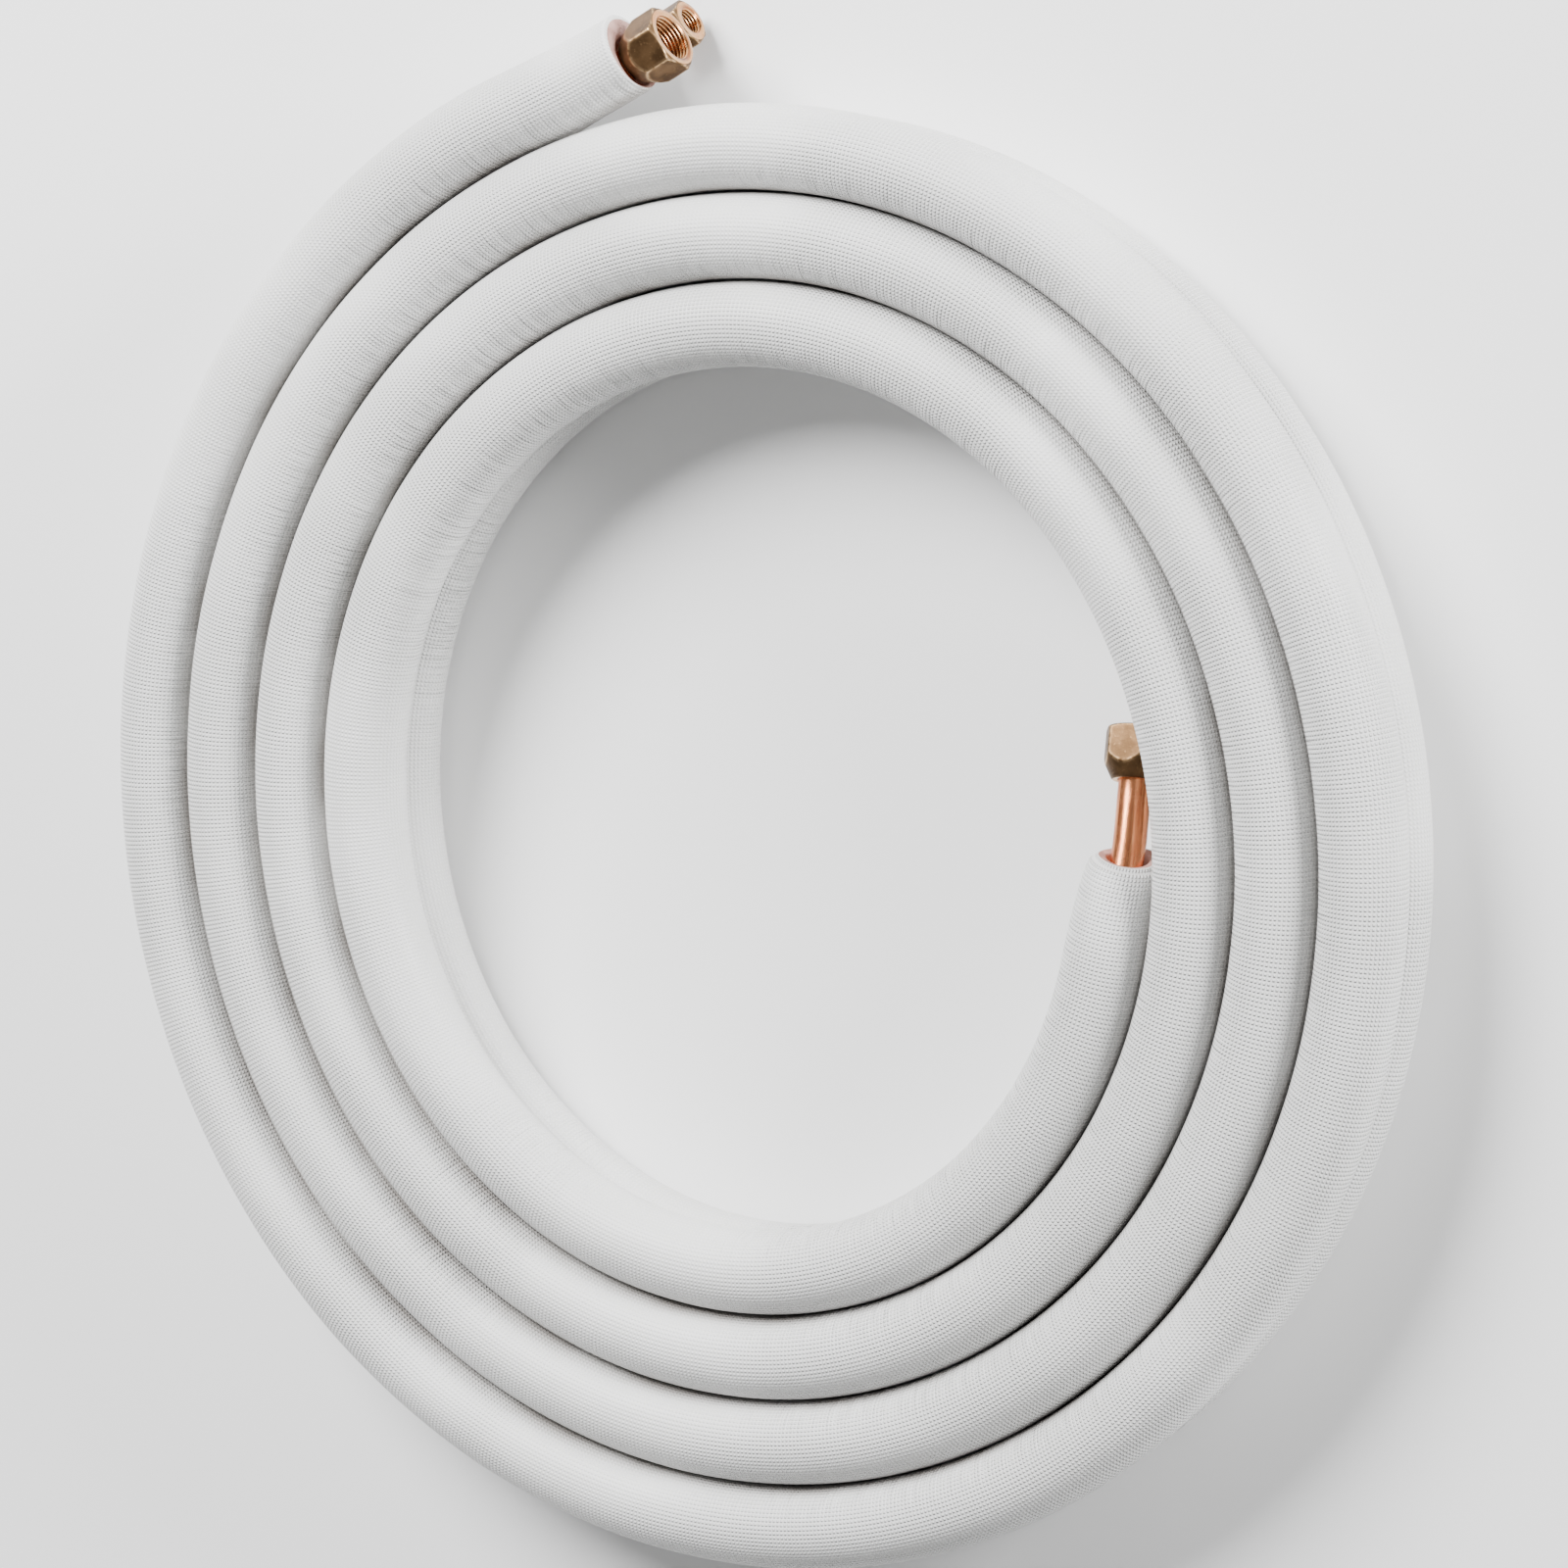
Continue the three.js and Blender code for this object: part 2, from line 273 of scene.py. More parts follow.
class Finish:
    """A material under construction: its node tree and its main shader."""

    def __init__(self, name):
        self.material = bpy.data.materials.new(name)
        self.material.use_nodes = True
        self.nodes = self.material.node_tree.nodes
        self.links = self.material.node_tree.links
        self.shader = self.nodes["Principled BSDF"]

    def node(self, kind, settings=None, **inputs):
        """A node with its settings, and inputs given as values or as sockets to link."""
        made = self.nodes.new(kind)
        made.location.x = -NODE_GAP * len(self.nodes)
        for key, value in (settings or {}).items():
            setattr(made, key, value)
        for key, value in inputs.items():
            self.put(made, socket_key(key), value)
        return made

    def put(self, made, key, value):
        socket = made.inputs[key]
        if isinstance(value, bpy.types.NodeSocket):
            self.links.new(value, socket)
        else:
            socket.default_value = value

    def math(self, operation, *values):
        settings = {"operation": operation}
        inputs = {"i%d" % k: value for k, value in enumerate(values)}
        return self.node("ShaderNodeMath", settings, **inputs).outputs[0]

    def ramp(self, value, low, high, to_low=0.0, to_high=1.0):
        """A smooth step from to_low at low to to_high at high."""
        made = self.node("ShaderNodeMapRange", {"interpolation_type": "SMOOTHSTEP"},
                         i0=value, i1=low, i2=high, i3=to_low, i4=to_high)
        return made.outputs[0]

    def noise(self, vector, scale, detail=2.0, roughness=0.5):
        made = self.node("ShaderNodeTexNoise", Vector=vector, Scale=scale, Detail=detail,
                         Roughness=roughness)
        return made.outputs["Fac"]

    def mix(self, share, first, second):
        """A colour between first and second."""
        made = self.node("ShaderNodeMix", {"data_type": "RGBA"}, i0=share, i6=first, i7=second)
        return made.outputs[2]

    def bump(self, height, distance, strength=1.0, normal=None):
        made = self.node("ShaderNodeBump", Height=height, Distance=distance, Strength=strength)
        if normal is not None:
            self.links.new(normal, made.inputs["Normal"])
        return made.outputs["Normal"]

    def attribute(self, name):
        return self.node("ShaderNodeAttribute", {"attribute_name": name}).outputs["Fac"]

    def places(self):
        """Object coordinates and the piece's UV map."""
        made = self.node("ShaderNodeTexCoord")
        return made.outputs["Object"], made.outputs["UV"]

    def split(self, vector):
        return self.node("ShaderNodeSeparateXYZ", Vector=vector).outputs

    def join(self, x, y, z=0.0):
        return self.node("ShaderNodeCombineXYZ", X=x, Y=y, Z=z).outputs[0]

    def set(self, **inputs):
        """Values or sockets for the main shader, with spaces written as underscores."""
        for key, value in inputs.items():
            self.put(self.shader, key.replace("_", " "), value)


# %% [markdown]
# The skin is a thin white film, embossed with a fine grid of raised dots and welded to the foam.
# Geometry for 200,000 dots would be far too heavy, so the dots are bump. The grid fades where
# the film was stretched smooth, cross creases gather on the inner side of each bend, and a
# brown-grey painted shade darkens the sides where the turns touch. The first turn touches nothing
# outside and the last one nothing inside, so the painted shade stops at those distances, in
# millimetres along the line.

# %% Embossed foam skin
DOT_PITCH = 1.7
DOT_HEIGHT = 0.74 * MM
LAST_TURN = 4100.0
FIRST_TURN = 1720.0
FADE = 120.0
CREASE_DEPTH = 0.9 * MM
DENT_DEPTH = 1.2 * MM


def foam_skin():
    f = Finish("foam_skin")
    place, dots = f.places()
    along, around, _ = f.split(dots)
    inner = f.attribute("inner_side")

    wave_along = f.math("COSINE", f.math("MULTIPLY", along, math.tau))
    wave_around = f.math("COSINE", f.math("MULTIPLY", around, math.tau))
    raised = f.math("MULTIPLY", f.ramp(wave_along, -0.9, 0.9), f.ramp(wave_around, -0.9, 0.9))
    stretched = f.ramp(f.noise(place, 9.0, 1.0), 0.40, 0.60, 0.30, 1.0)
    grid = f.math("MULTIPLY", raised, stretched)

    across = f.join(f.math("MULTIPLY", along, 0.34), f.math("MULTIPLY", around, 0.035))
    ridge = f.ramp(f.noise(across, 1.0, 3.0, 0.6), 0.38, 0.62)
    gathered = f.math("MULTIPLY", f.ramp(inner, 0.1, 0.9), f.ramp(f.noise(place, 5.0, 1.0), 0.40, 0.62))
    creases = f.math("MULTIPLY", ridge, gathered)

    dents = f.noise(place, 38.0, 2.0)
    normal = f.bump(dents, DENT_DEPTH, 0.35)
    normal = f.bump(creases, CREASE_DEPTH, 0.6, normal)
    normal = f.bump(grid, DOT_HEIGHT, 1.0, normal)

    # Painted shade, tinted brown-grey, on the sides that face a neighbouring turn: full on the inner side
    # where a turn lies inside, fainter on the outer side where one lies outside.
    has_inside = f.ramp(along, LAST_TURN / DOT_PITCH, (LAST_TURN + FADE) / DOT_PITCH, 1.0, 0.0)
    has_outside = f.ramp(along, FIRST_TURN / DOT_PITCH, (FIRST_TURN + FADE) / DOT_PITCH, 0.0, 0.35)
    far_side = f.ramp(f.math("MULTIPLY", inner, -1.0), 0.90, 1.0)
    near_touch = f.math("MULTIPLY", f.ramp(inner, 0.76, 0.99), has_inside)
    touch = f.math("MAXIMUM", near_touch, f.math("MULTIPLY", far_side, has_outside))
    painted_touch_shade = f.math("MULTIPLY", touch, f.ramp(f.noise(place, 22.0, 3.0), 0.35, 0.65, 0.55, 1.0))
    cloud = f.ramp(f.noise(place, 14.0, 3.0), 0.3, 0.7)
    white = f.mix(cloud, (0.77, 0.77, 0.76, 1), (0.83, 0.83, 0.825, 1))
    # Painted shade in the hollows between the raised dots, darkening the white.
    hollow = f.mix(f.math("MULTIPLY", f.math("SUBTRACT", 1.0, raised), 0.36), white,
                   (0.52, 0.515, 0.50, 1))
    # The brown-grey colour here is the painted shade where the turns touch, laid over the white.
    f.set(Base_Color=f.mix(f.math("MULTIPLY", painted_touch_shade, 0.84), hollow, (0.25, 0.225, 0.205, 1)))
    f.set(Roughness=f.ramp(cloud, 0.0, 1.0, 0.42, 0.52), Normal=normal)
    f.set(Specular_IOR_Level=0.45)
    return f.material


# %% [markdown]
# The cut ends show the foam itself. It is a dull pink and full of tiny cells, which are cheap
# to draw with a Voronoi texture used as bump.

# %% Cut foam
CELLS_PER_METRE = 1500.0


def cut_foam():
    f = Finish("cut_foam")
    place, _ = f.places()
    cells = f.node("ShaderNodeTexVoronoi", Vector=place, Scale=CELLS_PER_METRE).outputs["Distance"]
    patch = f.ramp(f.noise(place, 180.0, 3.0), 0.35, 0.65)
    f.set(Base_Color=f.mix(patch, (0.40, 0.22, 0.185, 1), (0.55, 0.34, 0.295, 1)))
    f.set(Roughness=0.9, Normal=f.bump(cells, 0.35 * MM, 0.7))
    return f.material


# %% [markdown]
# Drawn copper is bright, with faint streaks along the tube and red-brown tarnish in patches.
# The streaks read the tube's UV map: squeezed around the tube and stretched along it.

# %% Drawn copper
def drawn_copper():
    f = Finish("drawn_copper")
    place, lines = f.places()
    along, around, _ = f.split(lines)
    fine = f.join(f.math("MULTIPLY", along, 9.0), f.math("MULTIPLY", around, 46.0))
    streaks = f.noise(fine, 1.0, 4.0, 0.6)
    patch = f.ramp(f.noise(place, 60.0, 4.0, 0.6), 0.38, 0.68)
    tarnish = f.math("MULTIPLY", patch, f.ramp(streaks, 0.35, 0.7))
    bright = f.mix(f.ramp(streaks, 0.3, 0.7), (0.88, 0.36, 0.16, 1), (0.74, 0.25, 0.11, 1))
    f.set(Base_Color=f.mix(f.math("MULTIPLY", tarnish, 0.80), bright, (0.33, 0.095, 0.05, 1)))
    f.set(Roughness=f.ramp(tarnish, 0.0, 0.8, 0.20, 0.42), Metallic=1.0)
    f.set(Normal=f.bump(streaks, 0.06 * MM, 0.6))
    return f.material


# %% [markdown]
# A flare nut has two finishes. Its hexagon and shoulder keep the grainy olive brown skin of the
# forging, rubbed bright along the edges. The front face, the seat and the thread are turned, so
# they are bright and carry fine rings. The edge wear comes from an attribute that the nut's own
# mesh carries, because the mesh code knows exactly where its edges are.

# %% Forged and turned brass
def forged_brass():
    f = Finish("forged_brass")
    place, _ = f.places()
    grain = f.noise(place, 900.0, 3.0, 0.6)
    patch = f.ramp(f.noise(place, 130.0, 3.0), 0.35, 0.68)
    rubbed = f.math("MULTIPLY", f.attribute("edge_wear"), f.ramp(f.noise(place, 320.0, 3.0), 0.3, 0.6))
    dull = f.mix(patch, (0.085, 0.047, 0.022, 1), (0.155, 0.088, 0.042, 1))
    speckled = f.mix(f.ramp(grain, 0.58, 0.80), dull, (0.26, 0.155, 0.075, 1))
    f.set(Base_Color=f.mix(f.math("MULTIPLY", rubbed, 0.8), speckled, (0.72, 0.47, 0.25, 1)))
    f.set(Roughness=f.ramp(rubbed, 0.0, 1.0, 0.48, 0.28), Metallic=1.0)
    f.set(Normal=f.bump(grain, 0.10 * MM, 0.55))
    return f.material


def turned_brass():
    f = Finish("turned_brass")
    place, rings = f.places()
    along, around, _ = f.split(rings)
    marks = f.noise(f.join(f.math("MULTIPLY", along, 5.0), f.math("MULTIPLY", around, 2.0)), 1.0, 3.0)
    warm = f.ramp(f.noise(place, 240.0, 2.0), 0.35, 0.65)
    metal = f.mix(warm, (0.60, 0.28, 0.11, 1), (0.62, 0.37, 0.18, 1))
    # Painted shade darkens the thread's grooves, deepest at the bottom of each groove.
    painted_groove_shade = f.ramp(f.attribute("thread_depth"), 0.15, 0.9)
    f.set(Base_Color=f.mix(f.math("MULTIPLY", painted_groove_shade, 0.8), metal, (0.20, 0.055, 0.018, 1)))
    f.set(Roughness=f.ramp(marks, 0.3, 0.7, 0.20, 0.32), Metallic=1.0)
    f.set(Normal=f.bump(marks, 0.03 * MM, 0.5))
    return f.material


SKIN = foam_skin()
CUT_FOAM = cut_foam()
COPPER = drawn_copper()
FORGED = forged_brass()
TURNED = turned_brass()
print("finishes:", [m.name for m in (SKIN, CUT_FOAM, COPPER, FORGED, TURNED)])

# %% [markdown]
# Sleeves and tubes are both a closed profile carried along a path. They could be swept with
# Curve to Mesh, but that leaves the ends open and the foam without its lips. So each one is
# first made straight, along X, as rings of points, and Geometry Nodes then bend it: X becomes
# the distance along the path, and Y and Z become the offsets outward and downward from it.

# %% Straight pieces made of rings
def ring_mesh(name, rows, uv, marks, materials, by_point=None):
    """A closed skin from rows of points. The rows close on each other, and so does each row."""
    count, sides = rows.shape[:2]
    index = np.arange(count * sides).reshape(count, sides)
    below = np.roll(index, -1, axis=0)
    quads = np.stack([index, np.roll(index, -1, axis=1), np.roll(below, -1, axis=1), below], -1)
    mesh = bpy.data.meshes.new(name)
    mesh.from_pydata((rows.reshape(-1, 3) * MM).tolist(), [], quads.reshape(-1, 4).tolist())
    layer = mesh.uv_layers.new(name="UVMap")
    u, v = uv
    u_next = np.concatenate([u[1:], [u[-1] + 1]])
    u_pairs = np.stack([u, u, u_next, u_next], -1)
    v_pairs = np.stack([v[:-1], v[1:], v[1:], v[:-1]], -1)
    corners = np.stack([np.repeat(u_pairs[:, None], sides, 1), np.repeat(v_pairs[None], count, 0)], -1)
    layer.data.foreach_set("uv", corners.astype(np.float32).ravel())
    for material in materials:
        mesh.materials.append(material)
    mesh.polygons.foreach_set("material_index", np.repeat(marks, sides).astype(np.int32))
    mesh.polygons.foreach_set("use_smooth", np.ones(len(mesh.polygons), bool))
    for key, values in (by_point or {}).items():
        layer = mesh.attributes.new(key, "FLOAT", "POINT")
        layer.data.foreach_set("value", values.astype(np.float32).ravel())
    mesh.update()
    piece = bpy.data.objects.new(name, mesh)
    bpy.context.scene.collection.objects.link(piece)
    return piece


def face_outward(mesh):
    """Turn all the faces of a closed mesh to point out of it."""
    work = bmesh.new()
    work.from_mesh(mesh)
    bmesh.ops.recalc_face_normals(work, faces=work.faces)
    work.to_mesh(mesh)
    work.free()


def straight_rings(profile, sides, outward=None):
    """Rings of points along X from a profile of [along, radius] pairs."""
    turn = np.linspace(0, math.tau, sides, endpoint=False)
    along = np.array([point[0] for point in profile], float)
    radius = np.array([point[1] for point in profile], float)
    moved = np.zeros(len(profile)) if outward is None else np.array(outward, float)
    rows = np.zeros((len(profile), sides, 3))
    rows[..., 0] = along[:, None]
    rows[..., 1] = radius[:, None] * np.cos(turn) + moved[:, None]
    rows[..., 2] = radius[:, None] * np.sin(turn)
    return rows


# %% [markdown]
# The bending tree has named inputs for the path and for how uneven the foam is. Sample Curve
# reads the place, the tangent and the level normal at each distance. The unevenness only ever
# pulls the surface in, so it never makes a sleeve wider. The tree also stores which way each
# point faces, towards the middle of the coil or away from it, for the finish to read.

# %% Geometry Nodes: bend a straight piece along a path
def bending_tree():
    tree = bpy.data.node_groups.new("bend_along_path", "GeometryNodeTree")
    face = tree.interface
    face.new_socket("Geometry", in_out="INPUT", socket_type="NodeSocketGeometry")
    face.new_socket("Path", in_out="INPUT", socket_type="NodeSocketObject")
    face.new_socket("Unevenness", in_out="INPUT", socket_type="NodeSocketFloat")
    face.new_socket("Lumps per metre", in_out="INPUT", socket_type="NodeSocketFloat")
    face.new_socket("Seed", in_out="INPUT", socket_type="NodeSocketFloat")
    face.new_socket("Surface", in_out="INPUT", socket_type="NodeSocketMaterial")
    face.new_socket("Cut face", in_out="INPUT", socket_type="NodeSocketMaterial")
    face.new_socket("Geometry", in_out="OUTPUT", socket_type="NodeSocketGeometry")
    nodes, links = tree.nodes, tree.links

    def add(kind, settings=None, **inputs):
        made = nodes.new(kind)
        made.location.x = NODE_GAP * len(nodes)
        for key, value in (settings or {}).items():
            setattr(made, key, value)
        for key, value in inputs.items():
            socket = made.inputs[socket_key(key)]
            if isinstance(value, bpy.types.NodeSocket):
                links.new(value, socket)
            else:
                socket.default_value = value
        return made

    def vector(operation, *values):
        inputs = {"i%d" % k: value for k, value in enumerate(values)}
        return add("ShaderNodeVectorMath", {"operation": operation}, **inputs)

    def scaled(direction_socket, amount):
        made = add("ShaderNodeVectorMath", {"operation": "SCALE"}, Vector=direction_socket, Scale=amount)
        return made.outputs["Vector"]

    given = add("NodeGroupInput").outputs
    straight = add("ShaderNodeSeparateXYZ", Vector=add("GeometryNodeInputPosition").outputs[0]).outputs
    path = add("GeometryNodeObjectInfo", {"transform_space": "ORIGINAL"}, Object=given["Path"])
    sample = add("GeometryNodeSampleCurve", {"mode": "LENGTH"}, Curves=path.outputs["Geometry"])
    links.new(straight["X"], sample.inputs["Length"])
    outward = sample.outputs["Normal"]
    downward = vector("CROSS_PRODUCT", sample.outputs["Tangent"], outward).outputs["Vector"]
    offset = vector("ADD", scaled(outward, straight["Y"]), scaled(downward, straight["Z"])).outputs["Vector"]
    bent = vector("ADD", sample.outputs["Position"], offset).outputs["Vector"]

    lumps = add("ShaderNodeTexNoise", {"noise_dimensions": "4D"}, Vector=bent, W=given["Seed"],
                Scale=given["Lumps per metre"], Detail=1.0).outputs[0]
    pull = add("ShaderNodeMath", {"operation": "MULTIPLY"}, i0=lumps, i1=given["Unevenness"]).outputs[0]
    pull = add("ShaderNodeMath", {"operation": "MULTIPLY"}, i0=pull, i1=-1.0).outputs[0]
    inward = scaled(vector("NORMALIZE", offset).outputs["Vector"], pull)
    placed = add("GeometryNodeSetPosition", Geometry=given["Geometry"], Position=bent, Offset=inward)

    length = vector("LENGTH", offset).outputs["Value"]
    share = add("ShaderNodeMath", {"operation": "DIVIDE"}, i0=straight["Y"], i1=length).outputs[0]
    inner = add("ShaderNodeMath", {"operation": "MULTIPLY"}, i0=share, i1=-1.0).outputs[0]
    stored = add("GeometryNodeStoreNamedAttribute", {"data_type": "FLOAT", "domain": "POINT"},
                 Geometry=given["Geometry"], Name="inner_side", Value=inner)
    links.new(stored.outputs["Geometry"], placed.inputs["Geometry"])

    which = add("GeometryNodeInputMaterialIndex").outputs[0]
    skin = add("FunctionNodeCompare", {"data_type": "INT", "operation": "EQUAL"}, i2=which, i3=0)
    cut = add("FunctionNodeCompare", {"data_type": "INT", "operation": "EQUAL"}, i2=which, i3=1)
    whole = add("GeometryNodeRealizeInstances", Geometry=placed.outputs["Geometry"])
    skinned = add("GeometryNodeSetMaterial", Geometry=whole.outputs["Geometry"],
                  Selection=skin.outputs[0], Material=given["Surface"])
    faced = add("GeometryNodeSetMaterial", Geometry=skinned.outputs["Geometry"],
                Selection=cut.outputs[0], Material=given["Cut face"])
    links.new(faced.outputs["Geometry"], add("NodeGroupOutput").inputs["Geometry"])
    return tree


BEND = bending_tree()


def bent_piece(name, straight, line, unevenness, lumps, seed, surface, cut_face):
    """The straight piece bent along the line's path, as a plain closed mesh."""
    modifier = straight.modifiers.new("bend", "NODES")
    modifier.node_group = BEND
    values = {"Path": line["curve"], "Unevenness": unevenness, "Lumps per metre": lumps,
              "Seed": seed, "Surface": surface, "Cut face": cut_face}
    for item in BEND.interface.items_tree:
        if item.in_out == "INPUT" and item.name in values:
            modifier[item.identifier] = values[item.name]
    ready = straight.evaluated_get(bpy.context.evaluated_depsgraph_get())
    mesh = bpy.data.meshes.new_from_object(ready)
    mesh.name = name
    bpy.data.objects.remove(straight)
    face_outward(mesh)
    piece = bpy.data.objects.new(name, mesh)
    bpy.context.scene.collection.objects.link(piece)
    print(name, "has", sum(len(p.vertices) - 2 for p in mesh.polygons), "triangles")
    return piece


# %% [markdown]
# A sleeve's profile goes out along its skin, around the soft lip, over the cut face, down a
# small funnel and back through the bore. The photograph shows how the film draws the foam in at
# the cut: the inner end of the gas sleeve tapers over the last centimetres, and the outer end
# keeps its width but sits off the tube's middle, so its cut face is thick on one side.

# %% Foam sleeves
SKIN_RADIUS_TRIM = 0.05
RING_STEP = 3.9
SLANT_REACH = 45.0
SLANT_SHARE = 0.3
BORE_STEP = 13.0
SLEEVE_SIDES = 52
UNEVENNESS = 0.35 * MM
LUMPS_PER_METRE = 26.0
BODY_MARGIN = 1.2
BORE_MARGIN = 3.0


def lip(line, end):
    """[back from the cut, radius, is cut foam] from the skin round to the bore."""
    skin = line["sleeve"] - SKIN_RADIUS_TRIM
    bore = line["tube"] + FOAM_CLEARANCE
    rim = skin - end["draw_in"]
    hollow = end["hollow"]
    edge, crisp = end["edge"], end["crisp"]
    points = [(crisp + edge * (1 - math.sin(t)), rim - edge * (1 - math.cos(t)), False)
              for t in np.radians([0, 15, 30, 45, 60, 75])]
    shoulder = points[-1][1]
    points += [(0.5 * crisp, shoulder - 0.25, False), (0.0, shoulder - 0.7, False)]
    face = np.linspace(shoulder - 1.1, hollow + 0.4, 6)
    points += [(0.1 + 0.16 * k, radius, True) for k, radius in enumerate(face)]
    points += [(1.9, hollow, True), (3.0, hollow - 0.3, True)]
    points += [(end["funnel"], bore + 0.35, True), (end["funnel"] + 2.5, bore, True)]
    return points


def taper(distance, end):
    """How much of the draw-in is felt at a distance from the cut."""
    share = np.clip(1 - distance / end["reach"], 0, 1)
    return end["draw_in"] * share ** end["ease"]


GAS_ENDS = (
    {"draw_in": 0.3, "edge": 0.9, "crisp": 0.3, "hollow": 10.4, "funnel": 6.5, "reach": 30,
     "ease": 1.5, "extra": 3.2, "aside": 4.0, "aside_reach": 70, "slant": 0.0},
    {"draw_in": 2.2, "edge": 2.8, "crisp": 1.2, "hollow": 8.0, "funnel": 6.0, "reach": 42,
     "ease": 2.0, "extra": -0.6, "aside": 0.0, "aside_reach": 1, "slant": 0.46},
)
LIQUID_ENDS = (
    {"draw_in": 0.6, "edge": 1.2, "crisp": 0.4, "hollow": 6.2, "funnel": 5.5, "reach": 30,
     "ease": 1.5, "extra": 0.0, "aside": 0.0, "aside_reach": 1, "slant": 0.0},
    {"draw_in": 1.2, "edge": 2.0, "crisp": 0.6, "hollow": 5.8, "funnel": 5.5, "reach": 30,
     "ease": 2.0, "extra": 0.0, "aside": 0.0, "aside_reach": 1, "slant": 0.0},
)


def sleeve_profile(line, ends):
    """The closed profile: [along, radius], the cut marks and the sideways shift."""
    start = line["outer_bare"] - ends[0]["extra"]
    stop = line["length"] - line["inner_bare"] + ends[1]["extra"]
    skin = line["sleeve"] - SKIN_RADIUS_TRIM
    first, last = lip(line, ends[0]), lip(line, ends[1])
    first_lip, last_lip = ends[0]["edge"] + ends[0]["crisp"], ends[1]["edge"] + ends[1]["crisp"]
    body = np.arange(start + first_lip + BODY_MARGIN, stop - last_lip - BODY_MARGIN, RING_STEP)
    radius = skin - taper(body - start, ends[0]) - taper(stop - body, ends[1])
    bore_start, bore_stop = stop - last[-1][0] - BORE_MARGIN, start + first[-1][0] + BORE_MARGIN
    bore = np.arange(bore_start, bore_stop, -BORE_STEP)
    rows = [(start + back, r, cut) for back, r, cut in reversed(first)]
    rows += [(x, r, False) for x, r in zip(body, radius)]
    rows += [(stop - back, r, cut) for back, r, cut in last]
    rows += [(x, line["tube"] + FOAM_CLEARANCE, True) for x in bore]
    aside = [ends[0]["aside"] * max(0.0, 1 - (row[0] - start) / ends[0]["aside_reach"]) ** 2
             for row in rows]
    centred = [shift * min(1.0, max(0.0, (row[1] - line["tube"] - 4) / 6))
               for row, shift in zip(rows, aside)]
    return rows, centred


def foam_sleeve(name, node, line, ends, seed):
    rows, aside = sleeve_profile(line, ends)
    rings = straight_rings([row[:2] for row in rows], SLEEVE_SIDES, aside)
    end_place = line["length"] - line["inner_bare"] + ends[1]["extra"]
    near_end = np.clip(1 - (end_place - rings[..., 0]) / SLANT_REACH, 0, 1)
    rings[..., 0] += ends[1]["slant"] * near_end * (rings[..., 2] - SLANT_SHARE * rings[..., 1])
    dots_around = round(math.tau * line["sleeve"] / DOT_PITCH)
    u = np.array([row[0] for row in rows]) / DOT_PITCH
    v = np.linspace(0, dots_around, SLEEVE_SIDES + 1)
    marks = np.array([row[2] for row in rows], int)
    straight = ring_mesh(name + "_straight", rings, (u, v), marks, (SKIN, CUT_FOAM))
    sleeve = bent_piece(name, straight, line, UNEVENNESS, LUMPS_PER_METRE, seed, SKIN, CUT_FOAM)
    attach(sleeve, "coil")
    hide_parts(node)


foam_sleeve("gas_line_foam_sleeve", "gas_line_insulation", GAS, GAS_ENDS, 3.0)
foam_sleeve("liquid_line_foam_sleeve", "liquid_line_insulation", LIQUID, LIQUID_ENDS, 8.0)

# %% [markdown]
# A tube is the same kind of profile, thin walled, with its last millimetres opened into a 45
# degree flare. The flare holds the nut on, because the nut's seat bears on its back.

# %% Copper tubes
TUBE_STEP = 9.0
TUBE_SIDES = 28
TUBE_MARGIN = 6.0
STREAK_SHARE = 0.01


def tube_profile(line):
    """The closed profile of a flared tube as [along, radius] pairs."""
    outer = line["tube"]
    bore = outer - TUBE_WALL
    spread = flare_spread(line)
    lip_end = [(0.12, outer + spread - 0.10), (0.0, bore + spread + 0.25)]
    cone = [(LIP_RISE, outer + spread), (LIP_RISE + spread * 0.5, outer + spread * 0.5),
            (LIP_RISE + spread - 0.2, outer + 0.25), (LIP_RISE + spread + 0.5, outer)]
    throat = [(0.15, bore + spread), (spread * 0.5, bore + spread * 0.5), (spread, bore + 0.15),
              (spread + 1.0, bore)]
    length = line["length"]
    middle = np.arange(TUBE_MARGIN, length - TUBE_MARGIN, TUBE_STEP)
    profile = lip_end[::-1] + cone + [(x, outer) for x in middle]
    profile += [(length - x, r) for x, r in (lip_end[::-1] + cone)[::-1]]
    profile += [(length - x, r) for x, r in throat]
    profile += [(x, bore) for x in middle[::-1]]
    return profile + throat[::-1]


def copper_tube(name, node, line):
    profile = tube_profile(line)
    rings = straight_rings(profile, TUBE_SIDES)
    u = np.array([point[0] for point in profile]) * STREAK_SHARE
    v = np.linspace(0, 1, TUBE_SIDES + 1)
    marks = np.zeros(len(profile), int)
    straight = ring_mesh(name + "_straight", rings, (u, v), marks, (COPPER,))
    tube = bent_piece(name, straight, line, 0.0, LUMPS_PER_METRE, 0.0, COPPER, COPPER)
    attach(tube, "coil")
    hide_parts(node)


copper_tube("gas_line_copper", "gas_line_tube", GAS)
copper_tube("liquid_line_copper", "liquid_line_tube", LIQUID)
for line in (GAS, LIQUID):
    bpy.data.objects.remove(line["curve"])

# %% [markdown]
# A nut is also a closed profile, but its radius changes around it: the lesser of the hexagon
# and the turned cones, blended softly, because forged edges are never sharp. The thread is part
# of the same skin. Its depth follows the distance along the axis less one pitch per turn, which
# is all that a helix is. The place comes from the nut's swivel joint, and the turn of the
# hexagon from the corners of its solid.

# %% Flare nuts
NUT_SIDES = 144
THREAD_DEPTH_SHARE = 0.55
CREST_FLAT = 0.16
SOFT_EDGE = 0.22
OUTSIDE_STEPS = 46
THREAD_STEPS_PER_PITCH = 9
REAR_EDGE = 0.35
FRONT_CHAMFER_ANGLE = 30


def soft_min(first, second, softness):
    """The lesser of two sizes, rounded over where they cross."""
    gap = np.clip(0.5 + 0.5 * (second - first) / softness, 0, 1)
    return second + (first - second) * gap - softness * gap * (1 - gap)


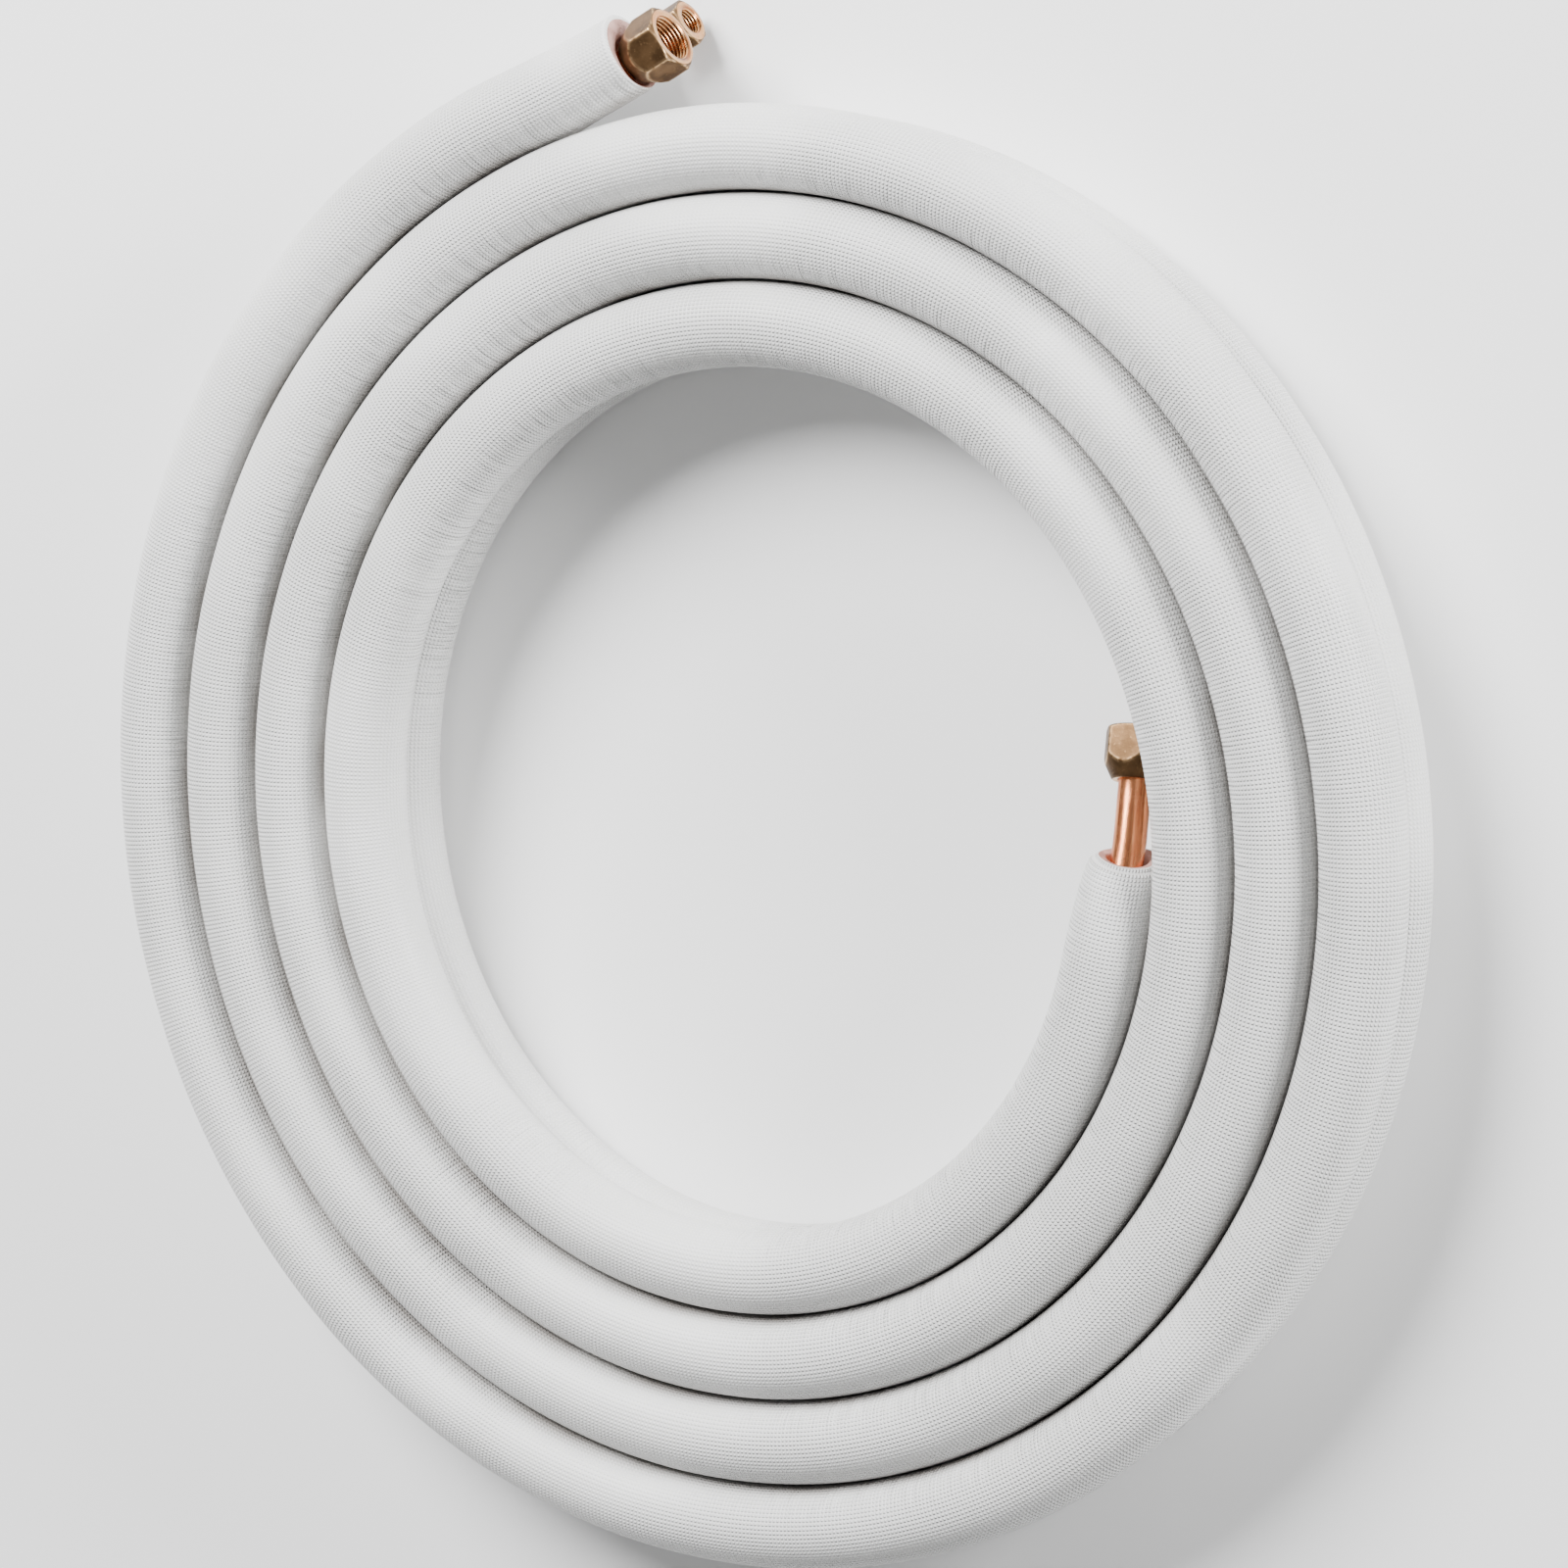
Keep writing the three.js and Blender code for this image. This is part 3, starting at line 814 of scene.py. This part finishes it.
def nut_outside(nut, turn):
    """Rows from the rear face forward over the hexagon: along, radius and edge wear."""
    corner = nut["flats"] / math.sqrt(3)
    flat = nut["flats"] / 2 / np.cos(np.radians((np.degrees(turn) % 60) - 30))
    worn_corner = soft_min(flat, 0 * flat + corner - 0.15, 0.35)
    along = np.linspace(0, nut["length"], OUTSIDE_STEPS)[:, None]
    rear = nut["rear"] + (corner - nut["rear"]) * along / nut["shoulder"]
    front = nut["front"] + (nut["length"] - along) / math.tan(math.radians(FRONT_CHAMFER_ANGLE))
    cones = np.minimum(rear, front)
    radius = soft_min(worn_corner[None, :], cones, SOFT_EDGE)
    near_cone = np.exp(-((worn_corner[None, :] - cones) / 0.35) ** 2)
    near_corner = np.exp(-((corner - flat) / 0.30) ** 2)[None, :] * (cones > worn_corner[None, :])
    return along + 0 * radius, radius, np.clip(near_cone + near_corner, 0, 1)


def nut_inside(nut, turn, bore):
    """Rows from the front face inward: chamfer, thread, seat and bore."""
    seat_end = nut["length"] - nut["depth"]
    pitch = nut["pitch"]
    count = int(nut["depth"] / pitch * THREAD_STEPS_PER_PITCH)
    along = np.linspace(nut["length"], seat_end, count)[:, None]
    wave = np.abs(((along / pitch - turn[None, :] / math.tau) % 1) * 2 - 1)
    groove = np.clip((wave - CREST_FLAT) / (1 - 2 * CREST_FLAT), 0, 1)
    fade = np.clip((along - seat_end) / pitch, 0, 1)
    thread = nut["thread"] + THREAD_DEPTH_SHARE * pitch * groove * fade
    chamfer = nut["thread"] + nut["chamfer"] - (nut["length"] - along)
    radius = np.maximum(thread, chamfer)
    seat_start = seat_end - (nut["thread"] - bore)
    tail = np.array([[seat_start + 0.2, bore + 0.2], [seat_start - 0.4, bore], [0.4, bore],
                     [0.0, bore + 0.3]])
    tail_along = np.repeat(tail[:, :1], len(turn), 1)
    tail_radius = np.repeat(tail[:, 1:], len(turn), 1)
    depth = np.concatenate([groove * fade, 0 * tail_radius])
    return (np.concatenate([along + 0 * radius, tail_along]),
            np.concatenate([radius, tail_radius]), depth)


def hexagon_turn(node, face, axis):
    """A unit vector from the axis towards one corner of the solid's hexagon."""
    co = np.array([v.co for v in frame["nodes"][node].data.vertices], float)
    offset = co - face
    offset -= np.outer(offset @ axis, axis)
    far = offset[np.argmax(np.linalg.norm(offset, axis=1))]
    return far / np.linalg.norm(far)


def flare_nut(name, node, body, joint, line):
    nut = line["nut"]
    turn = np.linspace(0, math.tau, NUT_SIDES, endpoint=False)
    out_along, out_radius, out_wear = nut_outside(nut, turn)
    in_along, in_radius, depth = nut_inside(nut, turn, line["tube"] + NUT_CLEARANCE)
    out_radius[0] -= REAR_EDGE
    along = np.concatenate([out_along, in_along])
    radius = np.concatenate([out_radius, in_radius])
    marks_by_point = {"edge_wear": np.concatenate([out_wear, 0 * in_radius]),
                      "thread_depth": np.concatenate([0 * out_radius, depth])}

    face = np.array(joints[joint]["pos_m"])
    axis = np.array(joints[joint]["axis"])
    corner = hexagon_turn(node, face, axis)
    side = np.cross(axis, corner)
    base = face / MM - axis * nut["length"]
    spoke = np.cos(turn)[:, None] * corner + np.sin(turn)[:, None] * side
    rows = base + along[..., None] * axis + radius[..., None] * spoke[None]
    marks = np.ones(len(rows), int)
    marks[:OUTSIDE_STEPS - 1] = 0
    u = np.arange(len(rows), dtype=float)
    v = np.linspace(0, 1, NUT_SIDES + 1)
    piece = ring_mesh(name, rows, (u, v), marks, (FORGED, TURNED), marks_by_point)
    face_outward(piece.data)
    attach(piece, body)
    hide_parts(node)
    print(name, "has", 2 * len(piece.data.polygons), "triangles")


for kind, line in (("gas", GAS), ("liquid", LIQUID)):
    for side in ("outer", "inner"):
        flare_nut(f"{kind}_brass_nut_{side}", f"{kind}_flare_nut_{side}", f"{kind}_nut_{side}",
                  f"{kind}_{side}_nut_swivel", line)

# %% [markdown]
# The floor is a plain pale sheet, and the light is soft, because the photograph has a white
# ground and hardly any shadow. One wide light stands towards the top of the picture, so the lower
# flank of each turn falls dark. A second one stands low on the right. It only reaches the turns
# that have nothing to their right, which makes the right side of the coil nearly white.

# %% Floor
FLOOR_SIZE = 40.0


def pale_floor():
    mesh = bpy.data.meshes.new("floor")
    half = FLOOR_SIZE / 2
    mesh.from_pydata([(-half, -half, 0), (half, -half, 0), (half, half, 0), (-half, half, 0)],
                     [], [(0, 1, 2, 3)])
    f = Finish("pale_floor")
    f.set(Base_Color=(0.93, 0.93, 0.93, 1), Roughness=0.9)
    mesh.materials.append(f.material)
    floor = bpy.data.objects.new("floor", mesh)
    bpy.context.scene.collection.objects.link(floor)


pale_floor()

# %% Soft studio light
def area_light(name, place, target, size, power):
    data = bpy.data.lights.new(name, "AREA")
    data.shape = "DISK"
    data.size = size
    data.energy = power
    light = bpy.data.objects.new(name, data)
    bpy.context.scene.collection.objects.link(light)
    away = Vector(place) - Vector(target)
    light.matrix_world = Matrix.Translation(place) @ away.to_track_quat("Z", "Y").to_matrix().to_4x4()


MIDDLE = (0.0, 0.0, 0.03)
WORLD_STRENGTH = 0.32
area_light("top", (-0.9, 2.0, 2.0), MIDDLE, 1.7, 260.0)
area_light("side", (2.6, 0.9, 0.62), MIDDLE, 0.9, 150.0)
world = bpy.data.worlds.new("studio")
world.use_nodes = True
world.node_tree.nodes["Background"].inputs["Color"].default_value = (1.0, 1.0, 1.0, 1)
world.node_tree.nodes["Background"].inputs["Strength"].default_value = WORLD_STRENGTH
bpy.context.scene.world = world
